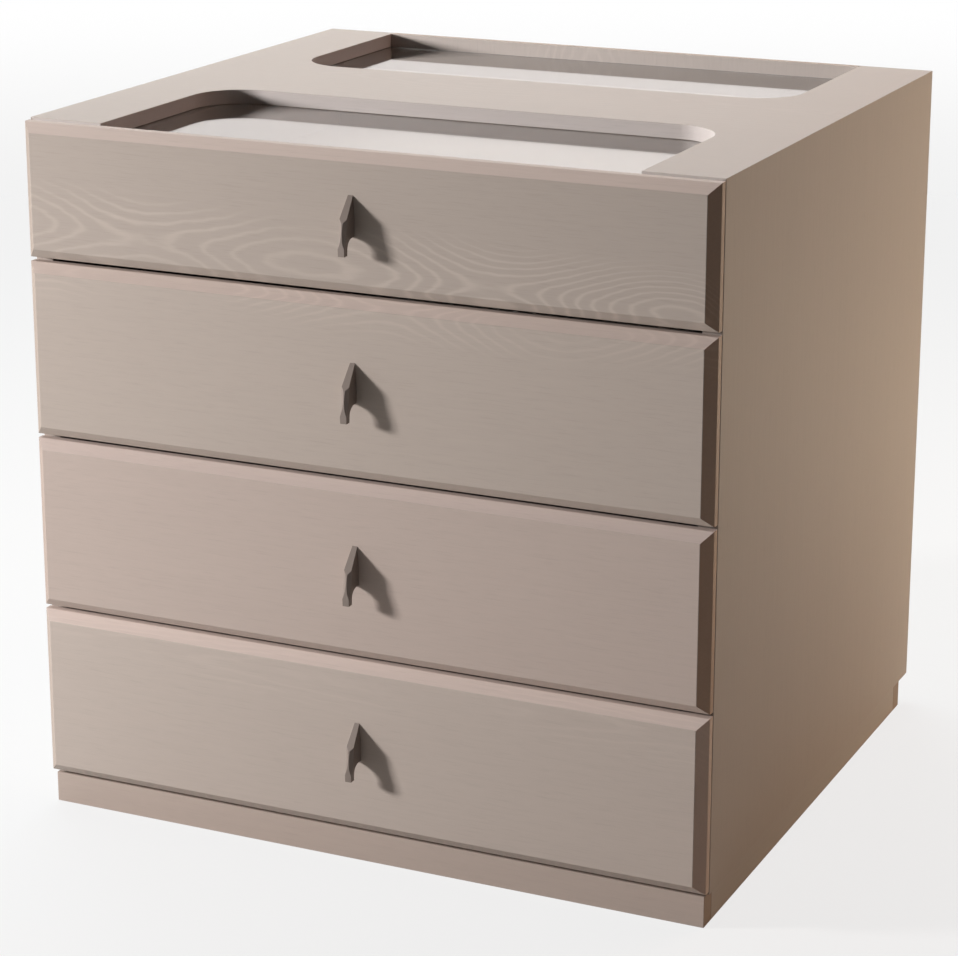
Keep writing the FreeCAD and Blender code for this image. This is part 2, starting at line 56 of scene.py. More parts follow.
Colour = tuple[float, float, float]
Point = tuple[float, float, float]
Span = tuple[float, float]
Relief = tuple[float, float]  # a bump's strength, and its height in metres
Socket = bpy.types.NodeSocket
Node = bpy.types.Node
Mesh = bpy.types.Mesh
Material = bpy.types.Material
EdgeTest = Callable[[bmesh.types.BMEdge], bool]

DRAWERS = (1, 2, 3, 4)
UNCHANGED: Colour = (1.0, 1.0, 1.0)
WHITE = (1.0, 1.0, 1.0, 1.0)
NONE_BELOW = 0.5  # a count below this is none


class Grain(Enum):
    """The way a board's grain runs: the turn that lays it along X, and its own axis."""

    ACROSS = ((0.0, 0.0, 0.0), "X")
    UPRIGHT = ((0.0, math.pi / 2, 0.0), "Z")
    DEPTHWISE = ((0.0, 0.0, -math.pi / 2), "Y")

    def __init__(self, turn: Point, axis: str) -> None:
        """Note the turn and the axis."""
        self.turn = turn
        self.axis = axis


@dataclass(frozen=True)
class Noise:
    """A noise: its scale along each axis per metre, and how many finer layers, how strong."""

    scale: Point
    detail: float
    rough: float = 0.5


# --------------------------------------------------------------------------------------
# Node trees
# --------------------------------------------------------------------------------------


class Wiring:
    """A node tree, with short ways to add and link nodes."""

    def __init__(self, tree: bpy.types.NodeTree) -> None:
        """Take over a tree.

        Args:
            tree: The tree.
        """
        self.tree = tree

    def add(self, kind: str, feeds: dict | None = None, **settings: object) -> Node:
        """Add a node.

        Args:
            kind: The node's type.
            feeds: What goes into its inputs, by name or number: a value or a socket.
            **settings: The node's own properties.

        Returns:
            The node.
        """
        node = self.tree.nodes.new(kind)
        for name, value in settings.items():
            setattr(node, name, value)
        for key, value in (feeds or {}).items():
            self.feed(node.inputs[key], value)
        return node

    def feed(self, socket: Socket, value: object) -> None:
        """Link a socket to an input, or set the input's value.

        Args:
            socket: The input.
            value: The socket or value that it gets.
        """
        if isinstance(value, bpy.types.NodeSocket):
            self.tree.links.new(value, socket)
        else:
            socket.default_value = value

    def math(self, operation: str, *values: object) -> Socket:
        """Work out one number from others.

        Args:
            operation: What is worked out.
            *values: The numbers or their sockets.

        Returns:
            The result's socket.
        """
        node = self.add("ShaderNodeMath", operation=operation)
        for socket, value in zip(node.inputs, values):
            self.feed(socket, value)
        return node.outputs[0]

    def total(self, start: object, *shares: tuple[object, float]) -> Socket:
        """Add weighted values to a start.

        Args:
            start: The number that they are added to, or its socket.
            *shares: Each value's socket and its weight.

        Returns:
            The sum's socket.
        """
        for value, weight in shares:
            start = self.math("MULTIPLY_ADD", value, weight, start)
        return start

    def point(self, **parts: object) -> Socket:
        """Make a point from its X, Y and Z."""
        return self.add("ShaderNodeCombineXYZ", parts).outputs[0]


class Graph(Wiring):
    """A material's or the world's node tree."""

    def __init__(self, owner: Material | bpy.types.World, output: str) -> None:
        """Start an empty tree.

        Args:
            owner: The material or world.
            output: The type of its output node.
        """
        self.owner = owner
        owner.use_nodes = True
        super().__init__(owner.node_tree)
        self.tree.nodes.clear()
        self.output = self.add(output)

    @classmethod
    def of_material(cls, name: str) -> "Graph":
        """Start a new material's tree."""
        return cls(bpy.data.materials.new(name), "ShaderNodeOutputMaterial")

    @classmethod
    def of_world(cls, name: str) -> "Graph":
        """Start a new world's tree."""
        return cls(bpy.data.worlds.new(name), "ShaderNodeOutputWorld")

    def place(self) -> Socket:
        """Read where a point lies in the frame."""
        return self.add("ShaderNodeTexCoord").outputs["Object"]

    def facing(self) -> Sequence[Socket]:
        """Read the way that a face looks, as its X, Y and Z."""
        normal = self.add("ShaderNodeNewGeometry").outputs["True Normal"]
        return self.add("ShaderNodeSeparateXYZ", {0: normal}).outputs

    def ramp(self, value: object, low: float, high: float, start: float = 0.0,
             end: float = 1.0) -> Socket:
        """Carry a value from one span to another along a smooth step.

        Args:
            value: What is carried.
            low: The value that gives start.
            high: The value that gives end.
            start: The first result.
            end: The last result.

        Returns:
            The result's socket.
        """
        feeds = {"Value": value, "From Min": low, "From Max": high,
                 "To Min": start, "To Max": end}
        node = self.add("ShaderNodeMapRange", feeds, interpolation_type="SMOOTHSTEP")
        return node.outputs[0]

    def noise(self, place: object, kind: Noise) -> Socket:
        """Read a noise.

        Args:
            place: Where it is read.
            kind: The noise.

        Returns:
            The noise's socket, from 0 to 1.
        """
        mapped = self.add("ShaderNodeMapping", {"Vector": place, "Scale": kind.scale})
        feeds = {"Vector": mapped.outputs[0], "Scale": 1.0, "Detail": kind.detail,
                 "Roughness": kind.rough}
        return self.add("ShaderNodeTexNoise", feeds).outputs[0]

    def lit(self, tone: object, light: object) -> Socket:
        """Make a tone lighter or darker."""
        feeds = {0: tone, "Scale": light}
        return self.add("ShaderNodeVectorMath", feeds, operation="SCALE").outputs[0]

    def bump(self, height: object, strength: float, distance: float) -> Socket:
        """Tilt the surface as a height would."""
        feeds = {"Height": height, "Strength": strength, "Distance": distance}
        return self.add("ShaderNodeBump", feeds).outputs[0]

    def mix(self, share: object, first: Node, second: Node) -> Node:
        """Mix two shaders: all of the first at 0, all of the second at 1."""
        feeds = {0: share, 1: first.outputs[0], 2: second.outputs[0]}
        return self.add("ShaderNodeMixShader", feeds)

    def finish(self, shader: Node) -> Material | bpy.types.World:
        """Link the surface shader and return the material or world."""
        self.tree.links.new(shader.outputs[0], self.output.inputs["Surface"])
        return self.owner


class ShapeTree(Wiring):
    """A Geometry Nodes tree with named inputs, and the modifier that runs it."""

    def __init__(self, name: str) -> None:
        """Start a tree that takes a geometry and gives one.

        Args:
            name: The tree's name.
        """
        super().__init__(bpy.data.node_groups.new(name, "GeometryNodeTree"))
        self.values = {}
        for way in ("INPUT", "OUTPUT"):
            self.tree.interface.new_socket("Geometry", in_out=way,
                                           socket_type="NodeSocketGeometry")
        self.source = self.add("NodeGroupInput")
        self.output = self.add("NodeGroupOutput")

    @property
    def start(self) -> Socket:
        """The geometry that the tree is given."""
        return self.source.outputs[0]

    def take(self, name: str, kind: str, value: object) -> Socket:
        """Add a named input.

        Args:
            name: The input's name.
            kind: The end of its socket's type, such as Float, Int or Material.
            value: What the modifier gives it.

        Returns:
            The socket that the tree reads it from.
        """
        item = self.tree.interface.new_socket(name, in_out="INPUT",
                                              socket_type=f"NodeSocket{kind}")
        self.values[item.identifier] = value
        return self.source.outputs[name]

    def bar(self, across: object, along: object, up: object) -> Socket:
        """Make a bar of these lengths along X, Y and Z, round the origin."""
        size = self.point(X=across, Y=along, Z=up)
        return self.add("GeometryNodeMeshCube", {"Size": size}).outputs[0]

    def put(self, shape: Socket, points: Socket, wanted: object = True) -> Socket:
        """Put an instance of a shape on each point that is wanted."""
        feeds = {"Points": points, "Instance": shape, "Selection": wanted}
        return self.add("GeometryNodeInstanceOnPoints", feeds).outputs[0]

    def real(self, shape: Socket) -> Socket:
        """Make a shape's instances real."""
        return self.add("GeometryNodeRealizeInstances", {"Geometry": shape}).outputs[0]

    def join(self, *shapes: Socket) -> Socket:
        """Join shapes into one.

        Args:
            *shapes: The shapes.

        Returns:
            The socket of the whole.
        """
        node = self.add("GeometryNodeJoinGeometry")
        for shape in shapes:
            self.feed(node.inputs[0], shape)
        return node.outputs[0]

    def cut(self, shape: Socket, *tools: Socket) -> Socket:
        """Cut hollows into a shape.

        Args:
            shape: The shape.
            *tools: The shapes of the hollows.

        Returns:
            The socket of what is left.
        """
        node = self.add("GeometryNodeMeshBoolean", {"Mesh 1": shape},
                        operation="DIFFERENCE", solver="EXACT")
        for tool in tools:
            self.feed(node.inputs["Mesh 2"], tool)
        return node.outputs[0]

    def run(self, name: str, mesh: Mesh, shape: Socket, material: Socket) -> Mesh:
        """Close the tree and run it on a mesh.

        Args:
            name: The new mesh's name.
            mesh: The mesh that the tree starts from.
            shape: The socket that gives the finished geometry.
            material: The input that names its finish.

        Returns:
            The result as one plain mesh.
        """
        feeds = {"Geometry": self.real(shape), "Material": material}
        dressed = self.add("GeometryNodeSetMaterial", feeds)
        self.feed(self.output.inputs[0], dressed.outputs[0])
        holder = bpy.data.objects.new(name, mesh)
        bpy.context.scene.collection.objects.link(holder)
        modifier = holder.modifiers.new(name, "NODES")
        modifier.node_group = self.tree
        for identifier, value in self.values.items():
            modifier[identifier] = value
        return plain_mesh(holder)


# --------------------------------------------------------------------------------------
# Finishes
# --------------------------------------------------------------------------------------

# The wood's noises, with X along the grain.
FIBRE = Noise((9.0, 330.0, 330.0), 3.0, rough=0.6)
PORES = Noise((38.0, 1300.0, 1300.0), 1.0)
BROAD = Noise((1.3, 9.0, 9.0), 2.0)
HEART_STRAY = Noise((2.6, 1.0, 1.0), 0.0)
RING_WANDER = Noise((7.0, 13.0, 13.0), 1.0)
RING_RIPPLE = Noise((42.0, 130.0, 130.0), 1.0)
FIGURE_CLOUD = Noise((4.1, 11.0, 11.0), 0.0)

# Where each of these begins to show, and where it shows in full.
PORE_SPAN: Span = (0.56, 0.72)
CLOUD_SPAN: Span = (0.36, 0.56)
# upright faces, which get painted light
PAINTED_WALL_LIGHT_SPAN: Span = (0.4, 0.2)
END_SPAN: Span = (0.5, 0.65)

# How much each layer lightens the stain, and how far it stands out.
PLAIN_LIGHT = 0.94
RING_LIGHT = 0.13
FIBRE_LIGHT = 0.085
PORE_LIGHT = -0.05
BROAD_LIGHT = 0.045
RING_HEIGHT = 0.4
PORE_HEIGHT = -0.8

# How the late wood's lines are drawn.
STRAY_REACH = 0.03  # metres that the heart line strays over
HEART_BEND = 0.012  # metres over which a line turns round at the heart
RIPPLE_RINGS = 0.45  # rings that the fine ripple shifts a line by
LINE_SHARPNESS = 4.0
BAND_CORE = 0.35  # the share of the spread that shows the lines in full


@dataclass(frozen=True)
class StainedWood:
    """Open-pored wood under a greige stain and a matt lacquer.

    The late wood of each growth ring shows as a pale line. The lines are contours of a field
    that falls off to both sides of a board's heart line and swells and sinks along it, so
    they close into arches and eyes, as on a flat-sawn board. Crowding draws them closer
    together towards one end of the board.
    """

    name: str
    tone: Colour
    grain: Grain = Grain.ACROSS
    shift: Point = (0.0, 0.0, 0.0)
    heart: float = 0.0
    figure: float = 0.5
    spread: float = 0.16
    lean: float = 0.0
    eye_middle: float = 0.0
    eye_length: float = 0.5
    eye_rings: float = 2.6
    ring_pitch: float = 100.0
    wander: float = 2.4
    crowding: float = 1.0
    crowding_span: Span = (0.02, 0.26)
    patchy: float = 0.15
    sheen: float = 0.14
    rough: float = 0.55
    rough_fibre: float = 0.1
    relief: Relief = (0.25, 0.0002)
    # painted light: a gain on upright faces, for the key light that the panes throw onto the
    # notch walls
    painted_wall_light: Colour = UNCHANGED
    # tint where a face looks along the grain: partly the darker stain of end grain, partly
    # painted shade matched to the shaded ends
    ends: Colour = (0.78, 0.7, 0.63)
    # the same for ends facing the other way; a gain above 1 is painted light
    far_end_grain_and_shading: Colour | None = None
    # painted light: a gain on up-facing faces, for light falling from above the front
    painted_upward_light: Colour = UNCHANGED

    def build(self) -> Material:
        """Build the finish's node tree.

        Returns:
            The material.
        """
        graph = Graph.of_material(self.name)
        feeds = {"Vector": graph.place(), "Location": self.shift,
                 "Rotation": self.grain.turn}
        laid = graph.add("ShaderNodeMapping", feeds).outputs[0]
        rings = self.growth_rings(graph, laid)
        fibre = graph.noise(laid, FIBRE)
        pores = graph.ramp(graph.noise(laid, PORES), *PORE_SPAN)
        broad = graph.noise(laid, BROAD)
        light = graph.total(PLAIN_LIGHT, (rings, RING_LIGHT * self.figure),
                            (fibre, FIBRE_LIGHT), (pores, PORE_LIGHT), (broad, BROAD_LIGHT))
        height = graph.total(fibre, (pores, PORE_HEIGHT), (rings, RING_HEIGHT))
        shader = graph.add("ShaderNodeBsdfPrincipled", {
            "Base Color": graph.lit(self.tone_by_face(graph), light),
            "Roughness": graph.total(self.rough, (fibre, self.rough_fibre)),
            "Specular IOR Level": self.sheen,
            "Normal": graph.bump(height, *self.relief),
        })
        return graph.finish(shader)

    def tone_by_face(self, graph: Graph) -> object:
        """Tint end grain, partly as painted shade, and paint light on upright walls and
        up-facing faces.

        Args:
            graph: The tree.

        Returns:
            The tone's socket, or the plain tone where nothing tints it.
        """
        parts = graph.facing()
        along = parts[self.grain.axis]
        near, far = END_SPAN
        # painted light on upright walls, end grain with painted shade at both ends, painted
        # light on up-facing faces
        gains = (
            (graph.ramp(graph.math("ABSOLUTE", parts["Z"]), *PAINTED_WALL_LIGHT_SPAN), self.painted_wall_light),
            (graph.ramp(along, -near, -far), self.ends),
            (graph.ramp(along, near, far), self.far_end_grain_and_shading or self.ends),
            (graph.ramp(parts["Z"], near, far), self.painted_upward_light),
        )
        tone = (*self.tone, 1.0)
        for share, gain in gains:
            if gain != UNCHANGED:
                feeds = {"Factor": share, 6: tone, 7: (*gain, 1.0)}
                mix = graph.add("ShaderNodeMix", feeds, data_type="RGBA",
                                blend_type="MULTIPLY")
                tone = mix.outputs[2]
        return tone

    def growth_rings(self, graph: Graph, laid: Socket) -> Socket:
        """Draw the late wood's pale lines.

        Args:
            graph: The tree.
            laid: Object coordinates, turned so that X runs with the grain.

        Returns:
            How much a point belongs to a line, from 0 to 1.
        """
        parts = graph.add("ShaderNodeSeparateXYZ", {0: laid}).outputs
        along = graph.math("SUBTRACT", parts["X"], self.shift[0] + self.eye_middle)
        off = self.off_heart(graph, laid, parts, along)
        field = self.ring_field(graph, laid, along, off)
        wave = graph.math("SINE", graph.math("MULTIPLY", field, math.tau))
        line = graph.math("POWER", graph.math("MULTIPLY_ADD", wave, 0.5, 0.5),
                          LINE_SHARPNESS)
        band = graph.ramp(graph.math("ABSOLUTE", off), self.spread, BAND_CORE * self.spread)
        cloud = graph.noise(laid, FIGURE_CLOUD)
        patch = graph.ramp(cloud, *CLOUD_SPAN, self.patchy, 1.0)
        return graph.math("MULTIPLY", line, graph.math("MULTIPLY", band, patch))

    def off_heart(self, graph: Graph, laid: Socket, parts: Sequence[Socket],
                  along: Socket) -> Socket:
        """Measure how far to one side of the heart line a point lies.

        Args:
            graph: The tree.
            laid: The point.
            parts: Its X, Y and Z.
            along: How far along the board it lies.

        Returns:
            The distance's socket.
        """
        across = graph.math("ADD", parts["Y"], parts["Z"])
        off = graph.math("SUBTRACT", across, self.heart + self.shift[1] + self.shift[2])
        stray = graph.math("SUBTRACT", graph.noise(laid, HEART_STRAY), 0.5)
        return graph.total(off, (along, -self.lean), (stray, STRAY_REACH))

    def ring_field(self, graph: Graph, laid: Socket, along: Socket, off: Socket) -> Socket:
        """Count the rings from a point to the heart line, with their swells and wandering.

        Args:
            graph: The tree.
            laid: The point.
            along: How far along the board it lies.
            off: How far off the heart line it lies.

        Returns:
            The count's socket.
        """
        swell = graph.math("COSINE", graph.math("MULTIPLY", along, math.tau / self.eye_length))
        square = graph.math("MULTIPLY_ADD", off, off, HEART_BEND * HEART_BEND)
        fallen = graph.math("SUBTRACT", graph.math("SQRT", square), HEART_BEND)
        field = graph.math("MULTIPLY", fallen, -self.ring_pitch)
        wander = graph.noise(laid, RING_WANDER)
        field = graph.total(field, (swell, self.eye_rings), (wander, self.wander))
        if self.crowding != 1.0:
            crowded = graph.ramp(along, *self.crowding_span, 1.0, self.crowding)
            field = graph.math("MULTIPLY", field, crowded)
        return graph.total(field, (graph.noise(laid, RING_RIPPLE), RIPPLE_RINGS))


@dataclass(frozen=True)
class SatinPaint:
    """A satin paint on cast metal, with the faint ripple that paint dries to."""

    name: str
    tone: Colour
    ripple: Noise = Noise((900.0, 900.0, 900.0), 1.0)
    cloud: Noise = Noise((60.0, 60.0, 60.0), 2.0)
    plain_light: float = 0.96
    cloud_light: float = 0.08
    sheen: float = 0.4
    rough: float = 0.42
    rough_cloud: float = 0.08
    relief: Relief = (0.12, 0.0002)

    def build(self) -> Material:
        """Build the finish's node tree.

        Returns:
            The material.
        """
        graph = Graph.of_material(self.name)
        place = graph.place()
        cloud = graph.noise(place, self.cloud)
        light = graph.total(self.plain_light, (cloud, self.cloud_light))
        shader = graph.add("ShaderNodeBsdfPrincipled", {
            "Base Color": graph.lit(self.tone, light),
            "Roughness": graph.total(self.rough, (cloud, self.rough_cloud)),
            "Specular IOR Level": self.sheen,
            "Normal": graph.bump(graph.noise(place, self.ripple), *self.relief),
        })
        return graph.finish(shader)


@dataclass(frozen=True)
class PlatedSteel:
    """Zinc-plated steel with the drawn lines of rolled strip."""

    name: str
    tone: Colour
    drawn: Noise
    rough: float = 0.3
    cloud: Noise = Noise((40.0, 40.0, 40.0), 2.0)
    plain_light: float = 0.86
    drawn_light: float = 0.1
    cloud_light: float = 0.16
    rough_drawn: float = 0.14
    relief: Relief = (0.1, 0.0001)

    def build(self) -> Material:
        """Build the finish's node tree.

        Returns:
            The material.
        """
        graph = Graph.of_material(self.name)
        place = graph.place()
        drawn = graph.noise(place, self.drawn)
        cloud = graph.noise(place, self.cloud)
        light = graph.total(self.plain_light, (drawn, self.drawn_light),
                            (cloud, self.cloud_light))
        shader = graph.add("ShaderNodeBsdfPrincipled", {
            "Base Color": graph.lit(self.tone, light),
            "Metallic": 1.0,
            "Roughness": graph.total(self.rough, (drawn, self.rough_drawn)),
            "Normal": graph.bump(drawn, *self.relief),
        })
        return graph.finish(shader)


@dataclass(frozen=True)
class ClearPane:
    """Clear float glass: polished faces, ground edges and a trace of dust."""

    name: str
    tone: Colour
    index: float = 1.52
    ground_span: Span = (0.6, 0.4)
    ground_rough: float = 0.35
    dust: Noise = Noise((14.0, 14.0, 14.0), 3.0)
    dust_rough: float = 0.012

    def build(self) -> Material:
        """Build the finish's node tree.

        Returns:
            The material.
        """
        graph = Graph.of_material(self.name)
        upward = graph.math("ABSOLUTE", graph.facing()["Z"])
        ground = graph.ramp(upward, *self.ground_span, 0.0, self.ground_rough)
        dust = graph.noise(graph.place(), self.dust)
        shader = graph.add("ShaderNodeBsdfPrincipled", {
            "Base Color": (*self.tone, 1.0),
            "Roughness": graph.total(ground, (dust, self.dust_rough)),
            "IOR": self.index,
            "Transmission Weight": 1.0,
        })
        return graph.finish(shader)


GREIGE: Colour = (0.45, 0.38, 0.335)
BOX_TONE: Colour = (0.43, 0.365, 0.32)

# The top's upright walls are lightened and cooled: painted light, for the key light and white
# surroundings that the panes throw onto the notch walls.
TOP_WOOD = StainedWood("greige_top", GREIGE, shift=(3.1, 0.7, 0.0), heart=0.75, figure=0.3,
                       sheen=0.25, rough=0.5, painted_wall_light=(1.26, 1.33, 1.42), ends=UNCHANGED)
LEFT_WOOD = StainedWood("greige_left_side", GREIGE, Grain.UPRIGHT, (1.2, 4.3, 0.0),
                        heart=0.05, figure=0.35, sheen=0.07)
RIGHT_WOOD = StainedWood("greige_right_side", GREIGE, Grain.UPRIGHT, (0.4, 2.2, 0.0),
                         heart=0.08, figure=0.35, sheen=0.07)
# The back panel is toned lighter than the stain: painted light on the rear notch's back wall,
# for the key light that the rear pane throws onto it.
BACK_WOOD = StainedWood("greige_back", (0.56, 0.49, 0.445), Grain.UPRIGHT, (5.2, 1.1, 0.6),
                        heart=0.35, figure=0.5)
INNER_WOOD = StainedWood("greige_bottom", GREIGE, shift=(8.1, 2.2, 0.4), figure=0.2)
PLINTH_WOOD = StainedWood("greige_plinth", (0.445, 0.362, 0.313), shift=(6.7, 0.2, 0.5),
                          figure=0.15)
PLINTH_SIDE_WOOD = StainedWood("greige_plinth_side", GREIGE, Grain.DEPTHWISE,
                               (2.7, 0.4, 0.9), figure=0.15)
BLOCK_WOOD = StainedWood("raw_blocks", (0.6, 0.44, 0.28), Grain.UPRIGHT, (2.0, 1.0, 0.3),
                         figure=0.6)

FRONT_FACE_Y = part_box("drawer1_front")[0].y
# Painted light on the fronts' up-facing bevels and top edges.
FRONT_PAINTED_UPWARD_LIGHT: Colour = (1.29, 1.245, 1.26)
# The fronts' ends: darker end grain with painted shade, darker on the key-lit left ends,
# darker and warmer on the shaded right ends.
LEFT_END_GRAIN_AND_SHADE: Colour = (0.7, 0.68, 0.66)
RIGHT_END_GRAIN_AND_SHADE: Colour = (0.94, 0.77, 0.66)
FRONT_WOODS = {
    1: StainedWood("greige_front_1", (0.413, 0.351, 0.306), shift=(0.35, 0.0, 0.0),
                   heart=0.592 + FRONT_FACE_Y, figure=1.2, spread=0.05, lean=-0.025,
                   eye_middle=-0.04, eye_length=0.355, eye_rings=1.9, ring_pitch=112.0,
                   wander=1.5, crowding=1.9, patchy=0.6, ends=LEFT_END_GRAIN_AND_SHADE,
                   far_end_grain_and_shading=RIGHT_END_GRAIN_AND_SHADE, painted_upward_light=FRONT_PAINTED_UPWARD_LIGHT),
    2: StainedWood("greige_front_2", (0.44, 0.373, 0.325), shift=(2.617, 0.3, 1.7),
                   heart=0.556 + FRONT_FACE_Y, figure=0.7, spread=0.036, eye_middle=-0.15,
                   eye_length=0.36, eye_rings=3.4, ring_pitch=150.0, patchy=0.0,
                   ends=LEFT_END_GRAIN_AND_SHADE, far_end_grain_and_shading=RIGHT_END_GRAIN_AND_SHADE, painted_upward_light=FRONT_PAINTED_UPWARD_LIGHT),
    3: StainedWood("greige_front_3", (0.47, 0.385, 0.338), shift=(4.9, 0.8, 3.1),
                   heart=0.37 + FRONT_FACE_Y, figure=0.15, spread=0.04, ends=LEFT_END_GRAIN_AND_SHADE,
                   far_end_grain_and_shading=(0.91, 0.75, 0.62), painted_upward_light=(1.23, 1.23, 1.255)),
    # Drawer 4's right ends are lightened: painted light.
    4: StainedWood("greige_front_4", (0.478, 0.406, 0.357), shift=(7.6, 0.5, 4.4),
                   heart=0.19 + FRONT_FACE_Y, figure=0.35, spread=0.04, eye_middle=0.05,
                   eye_length=0.9, eye_rings=1.2, ring_pitch=160.0, ends=LEFT_END_GRAIN_AND_SHADE,
                   far_end_grain_and_shading=(1.16, 1.02, 0.94), painted_upward_light=FRONT_PAINTED_UPWARD_LIGHT),
}

BOX_WOOD = StainedWood("box_boards", BOX_TONE, Grain.DEPTHWISE, (1.0, 2.0, 0.3), heart=0.2,
                       figure=0.3)
BOX_END_WOOD = StainedWood("box_ends", BOX_TONE, shift=(4.0, 1.0, 0.3), figure=0.3)
BOTTOM_WOOD = StainedWood("box_bottoms", (0.46, 0.4, 0.355), shift=(9.0, 1.0, 0.3),
                          figure=0.15)

PULL_PAINT = SatinPaint("pull_paint", (0.215, 0.172, 0.147))
RUNNER_STEEL = PlatedSteel("runner_zinc", (0.62, 0.63, 0.64), Noise((900.0, 12.0, 900.0), 2.0))
BALL_STEEL = PlatedSteel("ball_steel", (0.7, 0.7, 0.7), Noise((500.0, 500.0, 500.0), 2.0),
                         rough=0.16)
SCREW_STEEL = PlatedSteel("screw_zinc", (0.6, 0.6, 0.58), Noise((300.0, 300.0, 300.0), 2.0),
                          rough=0.25)
PANE_GLASS = ClearPane("clear_float", (0.96, 0.955, 0.945))


# --------------------------------------------------------------------------------------
# Meshes
# --------------------------------------------------------------------------------------

MERGE_REACH = 1e-6
FLAT_ANGLE = math.radians(0.2)
SHARP_ANGLE = math.radians(25)
SMOOTH_ANGLE = math.radians(28)


def dress(thing: bpy.types.Object, material: Material) -> None:
    """Give an object one material in place of what it has."""
    thing.data.materials.clear()
    thing.data.materials.append(material)


def new_piece(name: str, mesh: Mesh, material: Material, body: str) -> bpy.types.Object:
    """Put a mesh in the scene as a piece of one body.

    Args:
        name: The piece's name.
        mesh: Its mesh, in the frame's own coordinates.
        material: Its finish.
        body: The body that it moves with.

    Returns:
        The object.
    """
    piece = bpy.data.objects.new(name, mesh)
    bpy.context.scene.collection.objects.link(piece)
    dress(piece, material)
    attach(piece, body)
    log.info("%s: %d faces", piece.name, len(mesh.polygons))
    return piece


def stand_in(node: str, name: str, mesh: Mesh, material: Material, body: str) -> None:
    """Put a piece in a CAD node's place.

    Args:
        node: The node.
        name: The piece's name.
        mesh: Its mesh, in the frame's own coordinates.
        material: Its finish.
        body: The body that it moves with.
    """
    piece = new_piece(name, mesh, material, body)
    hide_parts(node)


def plain_mesh(holder: bpy.types.Object) -> Mesh:
    """Turn an object and its modifiers into one plain mesh, and take the object away.

    Args:
        holder: The object.

    Returns:
        The mesh, named as the object was.
    """
    graph = bpy.context.evaluated_depsgraph_get()
    mesh = bpy.data.meshes.new_from_object(holder.evaluated_get(graph), depsgraph=graph)
    mesh.name = holder.name
    bpy.data.objects.remove(holder)
    return mesh


def merged_copy(node: str) -> tuple[Mesh, bmesh.types.BMesh]:
    """Copy a node's mesh and join its loose triangles.

    Args:
        node: The node.

    Returns:
        The copy, and a form with its triangles joined, for close_into to write back.
    """
    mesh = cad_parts[node].data.copy()
    form = bmesh.new()
    form.from_mesh(mesh)
    bmesh.ops.remove_doubles(form, verts=form.verts, dist=MERGE_REACH)
    return mesh, form


def close_into(form: bmesh.types.BMesh, mesh: Mesh) -> None:
    """Write a form into a mesh and free it."""
    form.to_mesh(mesh)
    form.free()


def shade_by_area(mesh: Mesh) -> None:
    """Shade a mesh so that its large faces look flat and the narrow ones between them round.

    Args:
        mesh: The mesh.
    """
    near = math.cos(SMOOTH_ANGLE)
    around = [[] for _ in mesh.vertices]
    for face in mesh.polygons:
        face.use_smooth = True
        for vertex in face.vertices:
            around[vertex].append((face.normal.copy(), face.area ** 2))
    normals = []
    for face in mesh.polygons:
        for vertex in face.vertices:
            shares = [normal * weight for normal, weight in around[vertex]
                      if normal.dot(face.normal) > near]
            normals.append(sum(shares, Vector()).normalized() if shares else face.normal)
    mesh.normals_split_custom_set(normals)


def eased_copy(node: str, ease: float, wanted: EdgeTest, segments: int = 3) -> Mesh:
    """Copy a node's mesh and take its sharp edges off.

    Args:
        node: The node.
        ease: How far back each edge is taken, in metres.
        wanted: Tells which of the sharp edges are eased.
        segments: How many faces round each edge gets.

    Returns:
        The new mesh.
    """
    mesh, form = merged_copy(node)
    mesh.name = f"{node}_eased"
    bmesh.ops.dissolve_limit(form, angle_limit=FLAT_ANGLE, verts=form.verts,
                             edges=form.edges)
    sharp = [edge for edge in form.edges if edge.is_manifold
             and edge.calc_face_angle() > SHARP_ANGLE and edge.is_convex and wanted(edge)]
    bmesh.ops.bevel(form, geom=sharp, offset=ease, offset_type="OFFSET", segments=segments,
                    profile=0.5, affect="EDGES", clamp_overlap=True)
    close_into(form, mesh)
    shade_by_area(mesh)
    return mesh


def longer_than(length: float) -> EdgeTest:
    """Make a test for edges above a length."""
    return lambda edge: edge.calc_length() > length


def mesh_of_points(name: str, points: Sequence[Point]) -> Mesh:
    """Make a mesh of loose points.

    Args:
        name: Its name.
        points: The points.

    Returns:
        The mesh.
    """
    mesh = bpy.data.meshes.new(name)
    mesh.from_pydata(points, [], [])
    return mesh


# --------------------------------------------------------------------------------------
# The case
# --------------------------------------------------------------------------------------


